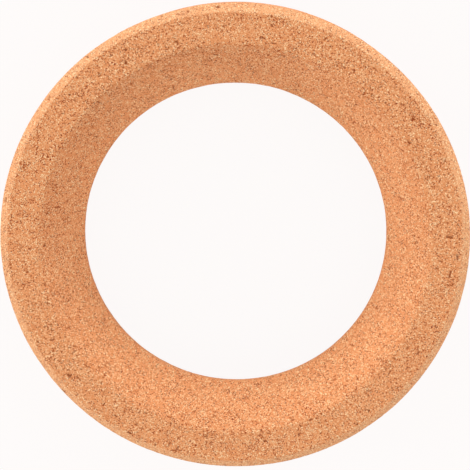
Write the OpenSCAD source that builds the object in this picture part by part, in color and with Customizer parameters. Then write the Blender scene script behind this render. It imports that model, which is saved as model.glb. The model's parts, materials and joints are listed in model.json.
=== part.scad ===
// Cork ring that stands a round-bottomed flask upright on the bench.
//
// The ring is one piece of pressed cork with the same section all the way round,
// and either face may be up, because the two are alike. Each face is a flat land
// with a chamfer outside it and a conical seat inside it, which the flask's belly
// lies in. The two seats meet at a short straight throat, halfway up the ring.
// The origin is on the bench, in the middle of the ring, with +Z up. Sizes are in mm.

/* [Ring] */
// Outside diameter of the wall
outer_d = 140; // [130:1:200]
// Height from one face to the other
ring_h = 30; // [20:1:50]

/* [Flask seats] */
// Diameter of each seat's mouth, where the cone meets the face
seat_d = 116; // [104:1:128]
// Radius that eases each mouth
seat_mouth_r = 1.5; // [0.5:0.25:3]

/* [Throat] */
// Bore of the throat
throat_d = 92; // [74:1:106]
// Height of the throat, from one seat to the other
throat_h = 2.5; // [1.5:0.25:8]
// Radius that rolls each seat over into the throat
throat_lip_r = 1.5; // [0.5:0.25:3]

/* [Outer edges] */
// Width of each chamfer, measured across the face
chamfer_w = 2.5; // [1:0.25:4]
// Height of each chamfer, measured along the wall
chamfer_h = 2.25; // [1:0.25:4]
// Radius that eases the two corners of each chamfer
edge_r = 0.8; // [0.3:0.1:1]

/* [Hidden] */

outer_r = outer_d / 2;
seat_r = seat_d / 2;
throat_r = throat_d / 2;
$fn = 180;

// The corners of the section's upper half, from the outer wall over the face and
// down the seat to the throat, as [distance from the axis, height, easing radius].
UPPER_HALF = [
    [outer_r, ring_h - chamfer_h, edge_r],
    [outer_r - chamfer_w, ring_h, edge_r],
    [seat_r, ring_h, seat_mouth_r],
    [throat_r, (ring_h + throat_h) / 2, throat_lip_r],
];

// The lower half is the upper one turned over, and it is read backwards, so that
// the two together run anticlockwise round the whole section.
LOWER_HALF = [for (i = [len(UPPER_HALF) - 1 : -1 : 0]) turned_over(UPPER_HALF[i])];

function turned_over(corner) = [corner[0], ring_h - corner[1], corner[2]];

function unit(v) = v / norm(v);

function tip(corner) = [corner[0], corner[1]];

// An easing arc of radius r in the corner at p: where it leaves the edge towards
// before, where it meets the edge towards after, and its centre.
function easing(before, p, after, r) =
    let (
        back = unit(before - p),
        on = unit(after - p),
        half_angle = acos(back * on) / 2,
        run = r / tan(half_angle)
    )
    [p + back * run, p + on * run, p + unit(back + on) * r / sin(half_angle)];

// A convex outline with each corner eased by its own radius. The straight-sided
// shape stops where the arcs begin, and a disc in each corner completes them.
module eased_outline(corners) {
    n = len(corners);
    arcs = [for (i = [0 : n - 1]) easing(
        tip(corners[(i + n - 1) % n]), tip(corners[i]), tip(corners[(i + 1) % n]), corners[i][2]
    )];
    polygon([for (arc = arcs) each [arc[0], arc[1]]]);
    for (i = [0 : n - 1])
        translate(arcs[i][2])
            circle(r = corners[i][2]);
}

module cork_ring() {
    color("burlywood")
        rotate_extrude()
            eased_outline(concat(UPPER_HALF, LOWER_HALF));
}

cork_ring();
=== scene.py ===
import json
import math
import random

import bmesh
import bpy
from mathutils import Matrix, Vector, noise


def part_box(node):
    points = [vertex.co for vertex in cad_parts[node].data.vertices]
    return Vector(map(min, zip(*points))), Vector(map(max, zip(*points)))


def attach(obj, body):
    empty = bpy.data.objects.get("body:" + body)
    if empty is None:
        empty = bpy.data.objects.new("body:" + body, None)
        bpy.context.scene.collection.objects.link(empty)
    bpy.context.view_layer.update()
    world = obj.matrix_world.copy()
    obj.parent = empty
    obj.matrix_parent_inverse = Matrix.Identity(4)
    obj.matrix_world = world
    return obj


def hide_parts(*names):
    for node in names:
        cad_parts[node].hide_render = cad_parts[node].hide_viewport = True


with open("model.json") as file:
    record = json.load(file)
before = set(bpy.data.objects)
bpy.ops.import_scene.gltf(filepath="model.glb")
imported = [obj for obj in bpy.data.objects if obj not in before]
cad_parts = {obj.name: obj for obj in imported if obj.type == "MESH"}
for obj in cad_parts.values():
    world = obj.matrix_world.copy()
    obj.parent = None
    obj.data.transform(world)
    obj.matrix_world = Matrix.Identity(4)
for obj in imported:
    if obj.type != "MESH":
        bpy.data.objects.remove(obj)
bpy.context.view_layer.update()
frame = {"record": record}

MM = 0.001

# ---------------------------------------------------------------- ring sizes
# The outside and the height come from the frame's box, and the bore from its mount.
# The rest of the section has the same values as the part's source.
NODE = "cork_ring"
OUTER_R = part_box(NODE)[1].x
RING_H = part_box(NODE)[1].z
THROAT = next(m for m in frame["record"]["mounts"] if m["name"] == "throat")
THROAT_R = THROAT["dims"]["r_mm"] * MM
THROAT_H = 2.5 * MM
THROAT_LIP_R = 1.5 * MM
SEAT_R = 58 * MM
SEAT_MOUTH_R = 1.5 * MM
CHAMFER_W = 2.5 * MM
CHAMFER_H = 2.25 * MM
EDGE_R = 0.8 * MM

# The section's corners as (distance from the axis, height, easing radius). The
# lower half is the upper one turned over.
UPPER_HALF = [
    (OUTER_R, RING_H - CHAMFER_H, EDGE_R),
    (OUTER_R - CHAMFER_W, RING_H, EDGE_R),
    (SEAT_R, RING_H, SEAT_MOUTH_R),
    (THROAT_R, (RING_H + THROAT_H) / 2, THROAT_LIP_R),
]
SECTION = UPPER_HALF + [(r, RING_H - z, ease) for r, z, ease in reversed(UPPER_HALF)]

# ---------------------------------------------------------------- mesh sizes
SECTOR_STEPS = 35         # faces along the sector that is swept
DOUBLINGS = 4             # how often the sector is doubled, which closes the ring
ROW_PITCH = 0.66 * MM
EASING_SEGMENTS = 3
MERGE_GAP = 0.01 * MM     # points closer than this become one
WANDER = 1.3 * MM         # how far the mesh's rows wander, so that pits lie at any angle
WANDER_WIDTH = 4.5 * MM
CORNER_HOLD = 1 * MM      # a row stays in place this near to a corner of the section
CORNER_EASE = 2 * MM      # and its wander grows to the full reach over this much more

# ---------------------------------------------------------------- relief sizes
SEED = 7
SKIN = 0.015 * MM         # the least that sanding takes off
SWELL = 9 * MM            # width of the slow rises and dips that hand sanding leaves
SWELL_DEPTH = 0.1 * MM
CRUMB = 1.9 * MM          # size of the granules that stand proud of each other
CRUMB_STEP = 0.05 * MM    # the most that one granule stands proud of the next
CRUMB_SPREAD = 53         # moves the granules' centres apart, so that each draws its own step
CREVICE_WIDTH = 0.35      # width of the crease between two granules, as a share of a granule
CREVICE_DEPTH = 0.05 * MM

PITS = 1400               # tries: some are left out, on finer ground or beside another pit
PIT_STEPS = (1, 1, 1, 1, 2, 2, 3)   # faces in a pit's chain, drawn from this list
PIT_DEPTHS = (0.12 * MM, 0.2 * MM, 0.33 * MM)
PIT_RIM = 0.19 * MM
PIT_JITTER = 0.15 * MM
PIT_JITTER_WIDTH = 0.3 * MM
PIT_BARK_AND_SHADE = 0.7            # how dark a pit's floor is, as bark and as painted shade, where 1 is a fleck of bark
PIT_BARK_AND_SHADE_SWING = 0.4

# ---------------------------------------------------------------- finish, with painted light and shade
# The face and the wall have the plain finish. A seat gets smoother from its mouth to the
# throat, and a chamfer is smoother all over. Both are paler, partly from sanding dust and
# partly painted light. A seat also has painted shade at its mouth and painted light towards its throat.
CHAMFER_FADE = 0.12       # how far its finish runs on past it, as a share of the chamfer
SEAT_SMOOTHING = 0.4      # share of the granules' relief that is gone at the throat
CHAMFER_SMOOTHING = 0.5   # and on a chamfer
SEAT_SPARED = 0.75        # share of the pits that are left out at the throat
CHAMFER_SPARED = 0.9      # and on a chamfer
CHAMFER_SANDING = 0.5     # how far a chamfer's grain is evened out, where the throat's is 1
SEAT_DUST_AND_PAINTED_LIGHT = 0.3          # how far the throat is paled by dust and by painted light, where a chamfer is 1
PAINTED_MOUTH_SHADE = 0.94        # painted shade: how dark a seat's mouth is, where the face's tone is 1
PAINTED_THROAT_LIGHT = 1.075      # and the painted light at the throat


def new_object(name, bm):
    """The finished bmesh as an object at the origin."""
    mesh = bpy.data.meshes.new(name)
    bm.to_mesh(mesh)
    bm.free()
    obj = bpy.data.objects.new(name, mesh)
    bpy.context.scene.collection.objects.link(obj)
    return obj


def linear(hex_colour):
    """An sRGB hex colour as linear RGBA."""
    channels = [int(hex_colour[i:i + 2], 16) / 255 for i in (1, 3, 5)]
    return [c / 12.92 if c <= 0.04045 else ((c + 0.055) / 1.055) ** 2.4 for c in channels] + [1]


def node(tree, kind, inputs=None, **settings):
    """A new node. Each input is a plain value or another node's output."""
    made = tree.nodes.new(kind)
    for name, value in settings.items():
        setattr(made, name, value)
    for socket, value in (inputs or {}).items():
        if isinstance(value, bpy.types.NodeSocket):
            tree.links.new(value, made.inputs[socket])
        else:
            made.inputs[socket].default_value = value
    return made


# ---------------------------------------------------------------- turned shape
def eased_section(bm):
    """The section's outline in the XZ plane: each corner is rounded by its own
    radius, and each straight is cut into rows."""
    corners = [bm.verts.new((r, 0, z)) for r, z, _ in SECTION]
    bm.faces.new(corners)
    for corner, (_, _, ease) in zip(corners, SECTION):
        arms = [edge.other_vert(corner).co - corner.co for edge in corner.link_edges]
        run = ease / math.tan(arms[0].angle(arms[1]) / 2)
        bmesh.ops.bevel(bm, geom=[corner], offset=run, offset_type="OFFSET",
                        segments=EASING_SEGMENTS, profile=0.5, affect="VERTICES", material=-1)
    bmesh.ops.delete(bm, geom=bm.faces[:], context="FACES_ONLY")
    for edge in bm.edges[:]:
        cuts = round(edge.calc_length() / ROW_PITCH) - 1
        if cuts > 0:
            bmesh.ops.subdivide_edges(bm, edges=[edge], cuts=cuts)


def turned_ring():
    """The section swept through one sector, which is doubled until the ring closes."""
    bm = bmesh.new()
    eased_section(bm)
    angle = math.tau / 2 ** DOUBLINGS
    bmesh.ops.spin(bm, geom=bm.verts[:] + bm.edges[:], axis=(0, 0, 1), angle=angle,
                   steps=SECTOR_STEPS)
    for _ in range(DOUBLINGS):
        copy = bmesh.ops.duplicate(bm, geom=bm.verts[:] + bm.edges[:] + bm.faces[:])["geom"]
        copied = [item for item in copy if isinstance(item, bmesh.types.BMVert)]
        bmesh.ops.rotate(bm, verts=copied, cent=(0, 0, 0), matrix=Matrix.Rotation(angle, 3, "Z"))
        angle *= 2
    bmesh.ops.remove_doubles(bm, verts=bm.verts, dist=MERGE_GAP)
    bmesh.ops.recalc_face_normals(bm, faces=bm.faces)
    return bm


# ---------------------------------------------------------------- places on the ring
def clamp(value):
    """The value, held between 0 and 1."""
    return min(max(value, 0), 1)


def chamfer_share(place):
    """1 on a chamfer, falling to 0 a little way onto the wall and the face."""
    r = math.hypot(place.x, place.y)
    h = min(place.z, RING_H - place.z)
    beyond = (OUTER_R - r) / CHAMFER_W + h / CHAMFER_H - 1
    return clamp(1 - beyond / CHAMFER_FADE)


def seat_share(place):
    """0 at a seat's mouth and outside it, rising to 1 at the throat."""
    r = math.hypot(place.x, place.y)
    return clamp((SEAT_R - r) / (SEAT_R - THROAT_R))


def painted_seat_light_and_shade(place):
    """Painted light and shade down a seat, as a tone where the face's is 1: darker at the mouth,
    lighter at the throat.
    """
    share = seat_share(place)
    return PAINTED_MOUTH_SHADE + (PAINTED_THROAT_LIGHT - PAINTED_MOUTH_SHADE) * share if share else 1


def corner_distance(place):
    """How far a point is, along the section, from the nearest corner."""
    r = math.hypot(place.x, place.y)
    return min(math.hypot(r - corner_r, place.z - corner_z) for corner_r, corner_z, _ in SECTION)


# ---------------------------------------------------------------- surface
def relief(place):
    """How far the cork lies under the turned surface."""
    slow = 0.5 + 0.5 * noise.noise(place / SWELL)
    distances, centres = noise.voronoi(place / CRUMB)
    step = 0.5 + 0.5 * noise.cell(centres[0] * CRUMB_SPREAD)
    gap = clamp((distances[1] - distances[0]) / CREVICE_WIDTH)
    fine = 1 - SEAT_SMOOTHING * seat_share(place) - CHAMFER_SMOOTHING * chamfer_share(place)
    return SKIN + SWELL_DEPTH * slow + fine * (CRUMB_STEP * step + CREVICE_DEPTH * (1 - gap) ** 2)


def roughen(bm):
    """Sinks each vertex by the relief, lets it wander within the surface, and notes the
    finish of its place for the material, with its painted light and shade."""
    sanding = bm.verts.layers.float.new("sanding")
    dust_and_painted_light = bm.verts.layers.float.new("dust_and_painted_light")
    shade = bm.verts.layers.float.new("shade")
    bm.normal_update()
    moves = []
    for vert in bm.verts:
        seat = seat_share(vert.co)
        chamfer = chamfer_share(vert.co)
        vert[sanding] = max(seat, CHAMFER_SANDING * chamfer)
        # Paleness of sanding dust, partly painted light, on the chamfers and down the seats.
        vert[dust_and_painted_light] = max(SEAT_DUST_AND_PAINTED_LIGHT * seat, chamfer)
        # Painted shade at a seat's mouth and painted light towards its throat.
        vert[shade] = painted_seat_light_and_shade(vert.co)
        freedom = clamp((corner_distance(vert.co) - CORNER_HOLD) / CORNER_EASE)
        wander = noise.noise_vector(vert.co / WANDER_WIDTH) * WANDER * freedom
        wander -= vert.normal * wander.dot(vert.normal)
        moves.append(wander - vert.normal * relief(vert.co))
    for vert, move in zip(bm.verts, moves):
        vert.co += move


def numbered_faces(bm):
    """The faces in the order of their corners, and numbered so. The operators keep one
    order of vertices but not of faces, and a draw has to find the same face every time."""
    bm.verts.index_update()
    faces = sorted(bm.faces, key=lambda face: sorted(vert.index for vert in face.verts))
    for index, face in enumerate(faces):
        face.index = index
    return faces


def pit_chain(face, steps, taken, rng):
    """A short crooked chain of faces that starts at the face and enters no other pit."""
    chain = [face]
    while len(chain) < steps:
        beside = {f for edge in chain[-1].edges for f in edge.link_faces}
        free = [f for f in beside if f not in chain and f.index not in taken]
        if not free:
            break
        chain.append(rng.choice(sorted(free, key=lambda f: f.index)))
    return chain


def sink_pits(bm):
    """Torn-out granules: chains of faces inset and sunk, with a dark floor that is partly bark and
    partly painted shade.
    """
    rng = random.Random(SEED)
    bark = bm.verts.layers.float.new("bark")
    faces = numbered_faces(bm)
    taken = set()
    groups = {depth: [] for depth in PIT_DEPTHS}
    for _ in range(PITS):
        face = rng.choice(faces)
        steps = rng.choice(PIT_STEPS)
        depth = rng.choice(PIT_DEPTHS)
        chance = rng.random()
        middle = face.calc_center_median()
        spared = max(SEAT_SPARED * seat_share(middle), CHAMFER_SPARED * chamfer_share(middle))
        if chance < spared:
            continue
        chain = pit_chain(face, steps, taken, rng)
        around = {f.index for c in chain for v in c.verts for f in v.link_faces}
        if around & taken:
            continue
        taken |= around
        groups[depth].append(chain)
    for depth, chains in groups.items():
        floors = [face for chain in chains for face in chain]
        bmesh.ops.inset_region(bm, faces=floors, thickness=PIT_RIM, depth=-depth,
                               use_even_offset=True, use_boundary=True)
        for vert in {vert for face in floors for vert in face.verts}:
            place = vert.co / PIT_JITTER_WIDTH
            # The floor's dark is partly bark and partly painted shade.
            vert[bark] = PIT_BARK_AND_SHADE + PIT_BARK_AND_SHADE_SWING * noise.noise(place)
            vert.co += noise.noise_vector(place) * PIT_JITTER


def cork_mesh():
    """The ring's whole mesh. The noise has a seed of its own, which would otherwise
    change with the clock."""
    noise.seed_set(SEED)
    bm = turned_ring()
    roughen(bm)
    sink_pits(bm)
    for face in bm.faces:
        face.smooth = True
    return bm


# ---------------------------------------------------------------- cork
# Real sizes of the patterns, in millimetres.
DRIFT_MM = 3.5            # slow change from dark, coarse patches to pale, even ones
GRIT_MM = 0.24            # the grains that the ground bark breaks down to
DUST_MM = 0.26            # dust over the grains, which is also their finest relief
WARP_MM = 0.8             # waves that bend the grains' straight edges
WARP_REACH_MM = 0.2
FLECK_MM = (0.3, 0.3, 0.85)
FLECK_TURNS = ((0.2, 0.3, 0), (1.5, 0.4, 0), (0.3, 1.5, 0.5), (1.4, 0, 0.9))
DUST_BUMP = 0.042 * MM

# The grain's colour is CORK at the middle tone, and dark or pale at the reach from it.
DARK_GRAIN = linear("#8a2400")
CORK = linear("#e6955e")
PALE_GRAIN = linear("#ffdbaa")
PALE_SPECK = linear("#ffddae")
# Pale of sanding dust and of painted light, on the chamfers and the seats.
SANDING_DUST_AND_PAINTED_LIGHT = linear("#ffdcac")
HARD_BARK = linear("#8a3500")
TONE_MIDDLE = 0.5
TONE_REACH = 0.75

# Weight of each pattern in the tone.
DRIFT_TONE = 0.05
GRIT_TONE = 2.4
DUST_TONE = 1.1
GRIT_POWER = 9            # an odd power, so that a dark grain stays dark

DRIFT_RANGE = (0.3, 0.7)        # where nearly all of the drift lies
PATCH_CONTRAST = (1.3, 0.7)     # strength of the grain, from coarse patches to even ones
SANDED_CONTRAST = (1.12, 0.82)  # and from the plain finish to the throat's
SPECK_DRAWS = (0.93, 0.97)      # a grain that draws more than this is a pale speck
SPECK_SHARE = 0.7
DUST_AND_PAINTED_LIGHT_SHARE = 0.16              # how much paler the chamfers are, partly from fine sanding and partly painted light
FLECK_EDGE = 0.5                # how far from its middle a fleck ends, against FLECK_MM
FLECK_CORE = 0.25               # and how far from it the fleck is fully dark
FLECK_PATCHING = 0.8            # how strongly the flecks gather in the coarse patches
FLECK_DRAWS = (0.57, 0.6)       # a sliver that draws more than this is dark bark
BARK_SHARE = 0.72               # how far flecks and pits take on the colour of hard bark, which in a pit is partly painted shade

# The Mix node's sockets for colours.
FACTOR, UNDER, OVER, MIXED = 0, 6, 7, 2


def grain_contrast(tree, drift, sanding):
    """How strong the grain's tones are at a place."""
    patches = node(tree, "ShaderNodeMapRange", {
        "Value": drift, "From Min": DRIFT_RANGE[0], "From Max": DRIFT_RANGE[1],
        "To Min": PATCH_CONTRAST[0], "To Max": PATCH_CONTRAST[1]}).outputs[0]
    finish = node(tree, "ShaderNodeMapRange", {
        "Value": sanding, "To Min": SANDED_CONTRAST[0], "To Max": SANDED_CONTRAST[1]}).outputs[0]
    return node(tree, "ShaderNodeMath", {0: finish, 1: patches}, operation="MULTIPLY").outputs[0]


def grain_tone(tree, drift, grit, dust, contrast):
    """The grain's tone. Most grit is near the middle, and a few grains are far paler or
    darker, because their draw is raised to a power."""
    swing = node(tree, "ShaderNodeMapRange", {"Value": grit, "To Min": -1}).outputs[0]
    swing = node(tree, "ShaderNodeMath", {0: swing, 1: GRIT_POWER}, operation="POWER").outputs[0]
    # Drift and dust are a half on average, so that much of them is taken off again.
    tone = -0.5 * (DRIFT_TONE + DUST_TONE)
    for pattern, share in ((drift, DRIFT_TONE), (swing, GRIT_TONE), (dust, DUST_TONE)):
        tone = node(tree, "ShaderNodeMath", {0: pattern, 1: share, 2: tone},
                    operation="MULTIPLY_ADD").outputs[0]
    return node(tree, "ShaderNodeMath", {0: tone, 1: contrast, 2: TONE_MIDDLE},
                operation="MULTIPLY_ADD").outputs[0]


def grain_colour(tree, tone, speck, dust_and_painted_light, shade):
    """The cork's colour without its flecks of bark. It is paled on the chamfers and the
    seats partly by sanding dust and partly by painted light, and carries the seats'
    painted light and shade.
    """
    low = node(tree, "ShaderNodeMapRange", {
        "Value": tone, "From Min": TONE_MIDDLE - TONE_REACH, "From Max": TONE_MIDDLE}).outputs[0]
    high = node(tree, "ShaderNodeMapRange", {
        "Value": tone, "From Min": TONE_MIDDLE, "From Max": TONE_MIDDLE + TONE_REACH}).outputs[0]
    speck = node(tree, "ShaderNodeMath", {0: speck, 1: SPECK_SHARE}, operation="MULTIPLY").outputs[0]
    # The paleness of sanding dust and painted light.
    dust_and_painted_light = node(tree, "ShaderNodeMath", {0: dust_and_painted_light, 1: DUST_AND_PAINTED_LIGHT_SHARE}, operation="MULTIPLY").outputs[0]
    colour = DARK_GRAIN
    for share, over in ((low, CORK), (high, PALE_GRAIN), (speck, PALE_SPECK), (dust_and_painted_light, SANDING_DUST_AND_PAINTED_LIGHT)):
        colour = node(tree, "ShaderNodeMix", {FACTOR: share, UNDER: colour, OVER: over},
                      data_type="RGBA").outputs[MIXED]
    # The seats' painted shade at the mouth and painted light towards the throat.
    return node(tree, "ShaderNodeMix", {FACTOR: 1, UNDER: colour, OVER: shade}, data_type="RGBA",
                blend_type="MULTIPLY", clamp_result=True).outputs[MIXED]


def bark_flecks(tree, place, drift, pits):
    """How far a place is hard outer bark: wholly on its slivers, which lie at any angle,
    and in part on the floors of the pits, where that dark is partly painted shade."""
    flecks = pits
    for turn in FLECK_TURNS:
        stretched = node(tree, "ShaderNodeMapping", {
            "Vector": place, "Rotation": turn, "Scale": FLECK_MM}, vector_type="TEXTURE").outputs[0]
        cell = node(tree, "ShaderNodeTexVoronoi", {"Vector": stretched, "Scale": 1}).outputs
        body = node(tree, "ShaderNodeMapRange", {
            "Value": cell["Distance"], "From Min": FLECK_EDGE, "From Max": FLECK_CORE}).outputs[0]
        draw = node(tree, "ShaderNodeSeparateColor", {"Color": cell["Color"]}).outputs["Green"]
        draw = node(tree, "ShaderNodeMath", {0: drift, 1: -FLECK_PATCHING, 2: draw},
                    operation="MULTIPLY_ADD").outputs[0]
        drawn = node(tree, "ShaderNodeMapRange", {
            "Value": draw, "From Min": FLECK_DRAWS[0], "From Max": FLECK_DRAWS[1]}).outputs[0]
        fleck = node(tree, "ShaderNodeMath", {0: body, 1: drawn}, operation="MULTIPLY").outputs[0]
        flecks = node(tree, "ShaderNodeMath", {0: flecks, 1: fleck}, operation="MAXIMUM").outputs[0]
    return flecks


def pressed_cork():
    """Pressed (agglomerated) cork: ground bark, glued under pressure, then turned and
    sanded. To the eye it is matt, with grit of many tones, a few pale specks, and dark
    slivers of the hard outer bark. Fine sanding leaves the grain more even and paler. Part of
    that paleness, on the chamfers and the seats, is painted light, a seat has painted shade
    at its mouth and painted light at its throat, and the pits' dark floors are partly painted shade."""
    material = bpy.data.materials.new("pressed cork, turned and sanded")
    material.use_nodes = True
    tree = material.node_tree
    shader = tree.nodes["Principled BSDF"]
    # The finish's layers: sanding, the paleness of sanding dust and painted light, the painted light
    # and shade of the seats, and the dark of the pit floors, which is partly bark and partly painted
    # shade.
    sanding, dust_and_painted_light, shade, pits = [node(tree, "ShaderNodeAttribute", attribute_name=name).outputs["Fac"]
                                   for name in ("sanding", "dust_and_painted_light", "shade", "bark")]

    place = node(tree, "ShaderNodeTexCoord").outputs["Object"]
    mm = node(tree, "ShaderNodeVectorMath", {0: place, "Scale": 1 / MM}, operation="SCALE").outputs[0]
    drift = node(tree, "ShaderNodeTexNoise", {
        "Vector": mm, "Scale": 1 / DRIFT_MM, "Detail": 3}).outputs["Fac"]
    dust = node(tree, "ShaderNodeTexNoise", {
        "Vector": mm, "Scale": 1 / DUST_MM, "Detail": 1}).outputs["Fac"]
    waves = node(tree, "ShaderNodeTexNoise", {
        "Vector": mm, "Scale": 1 / WARP_MM, "Detail": 1}).outputs["Color"]
    warped = node(tree, "ShaderNodeVectorMath", {0: waves, 1: [WARP_REACH_MM] * 3, 2: mm},
                  operation="MULTIPLY_ADD").outputs[0]
    grit = node(tree, "ShaderNodeTexVoronoi", {"Vector": warped, "Scale": 1 / GRIT_MM}).outputs["Color"]
    grit = node(tree, "ShaderNodeSeparateColor", {"Color": grit}).outputs
    speck = node(tree, "ShaderNodeMapRange", {
        "Value": grit["Green"], "From Min": SPECK_DRAWS[0], "From Max": SPECK_DRAWS[1]}).outputs[0]

    contrast = grain_contrast(tree, drift, sanding)
    tone = grain_tone(tree, drift, grit["Red"], dust, contrast)
    colour = grain_colour(tree, tone, speck, dust_and_painted_light, shade)
    flecks = bark_flecks(tree, warped, drift, pits)
    share = node(tree, "ShaderNodeMath", {0: flecks, 1: contrast}, operation="MULTIPLY").outputs[0]
    share = node(tree, "ShaderNodeMath", {0: share, 1: BARK_SHARE}, operation="MULTIPLY").outputs[0]
    colour = node(tree, "ShaderNodeMix", {FACTOR: share, UNDER: colour, OVER: HARD_BARK},
                  data_type="RGBA").outputs[MIXED]
    tree.links.new(colour, shader.inputs["Base Color"])
    shader.inputs["Roughness"].default_value = 0.85
    shader.inputs["Specular IOR Level"].default_value = 0.15
    grain = node(tree, "ShaderNodeBump", {"Strength": 1, "Distance": DUST_BUMP, "Height": dust})
    tree.links.new(grain.outputs["Normal"], shader.inputs["Normal"])
    return material


# ---------------------------------------------------------------- the ring
ring = new_object("ring", cork_mesh())
ring.data.materials.append(pressed_cork())
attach(ring, "root")
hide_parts(NODE)


# ---------------------------------------------------------------- stage
PAPER = linear("#fffcfb")
LIT_PAPER = linear("#ededed")
GLOW = 0.95               # how far the camera sees plain white in place of the lit floor
FLOOR_REACH = 3           # from the middle to each side


def seen_directly(tree):
    """1 for rays that show a surface to the camera, also in a reflection or through the
    object, and 0 for rays that only carry its light."""
    rays = node(tree, "ShaderNodeLightPath").outputs
    seen = node(tree, "ShaderNodeMath", {0: rays["Is Camera Ray"], 1: rays["Is Glossy Ray"]},
                operation="ADD").outputs[0]
    return node(tree, "ShaderNodeMath", {0: seen, 1: rays["Is Transmission Ray"]},
                operation="ADD").outputs[0]


def white_paper():
    """White paper: the camera sees it as plain white with a trace of the shadow."""
    material = bpy.data.materials.new("white paper")
    material.use_nodes = True
    tree = material.node_tree
    shader = tree.nodes["Principled BSDF"]
    shader.inputs["Base Color"].default_value = LIT_PAPER
    shader.inputs["Roughness"].default_value = 1
    shader.inputs["Specular IOR Level"].default_value = 0
    share = node(tree, "ShaderNodeMath", {0: seen_directly(tree), 1: GLOW},
                 operation="MULTIPLY").outputs[0]
    glow = node(tree, "ShaderNodeEmission", {"Color": PAPER}).outputs[0]
    mixed = node(tree, "ShaderNodeMixShader", {0: share, 1: shader.outputs[0], 2: glow}).outputs[0]
    tree.links.new(mixed, tree.nodes["Material Output"].inputs["Surface"])
    return material


def floor():
    """A sheet of white paper under the ring."""
    bm = bmesh.new()
    bmesh.ops.create_grid(bm, x_segments=1, y_segments=1, size=FLOOR_REACH)
    obj = new_object("floor", bm)
    obj.data.materials.append(white_paper())


floor()


# ---------------------------------------------------------------- camera
CAMERA_DISTANCE = 445 * MM
CAMERA_TILT = math.radians(10.1)
CAMERA_HEADING = math.radians(81.5)
VIEW_WIDTH = 139.05 * MM  # how much of the top face's plane the view takes in
VIEW_MIDDLE = Vector((0.28, 2.16, 0)) * MM


def camera():
    """The camera looks down on the top face from a little off the axis."""
    top = Vector((0, 0, RING_H))
    away = Vector((math.sin(CAMERA_TILT) * math.cos(CAMERA_HEADING),
                   math.sin(CAMERA_TILT) * math.sin(CAMERA_HEADING), math.cos(CAMERA_TILT)))
    target = top + VIEW_MIDDLE
    place = top + away * CAMERA_DISTANCE
    data = bpy.data.cameras.new("camera")
    data.lens = CAMERA_DISTANCE / VIEW_WIDTH * data.sensor_width
    obj = bpy.data.objects.new("camera", data)
    bpy.context.scene.collection.objects.link(obj)
    back = (place - target).normalized()
    up = (Vector((0, 1, 0)) - back * back.y).normalized()
    right = up.cross(back)
    turn = Matrix((right, up, back)).transposed()
    obj.matrix_world = Matrix.Translation(place) @ turn.to_4x4()
    bpy.context.scene.camera = obj


camera()


# ---------------------------------------------------------------- light
# Low soft lamps as (heading, height, strength), under a plain white sky.
LAMPS = [(90, 8, 0.34), (180, 8, 0.32), (40, 3, 0.16)]
LAMP_SOFTNESS = math.radians(10)
SKY = 0.90


def lamps():
    """The lamps. One of strength 1 lights white paper that faces it to plain white."""
    for heading, height, strength in LAMPS:
        data = bpy.data.lights.new("softbox", "SUN")
        data.energy = strength * math.pi
        data.angle = LAMP_SOFTNESS
        obj = bpy.data.objects.new("softbox", data)
        bpy.context.scene.collection.objects.link(obj)
        obj.rotation_euler = (math.radians(90 - height), 0, math.radians(heading + 90))


def sky():
    """Plain white light from all round. The camera sees it as white as the paper."""
    world = bpy.data.worlds.new("white sky")
    world.use_nodes = True
    tree = world.node_tree
    colour = node(tree, "ShaderNodeMix", {
        FACTOR: seen_directly(tree), UNDER: (SKY, SKY, SKY, 1), OVER: PAPER},
        data_type="RGBA").outputs[MIXED]
    tree.links.new(colour, tree.nodes["Background"].inputs["Color"])
    bpy.context.scene.world = world


lamps()
sky()
bpy.context.scene.view_settings.view_transform = "Standard"
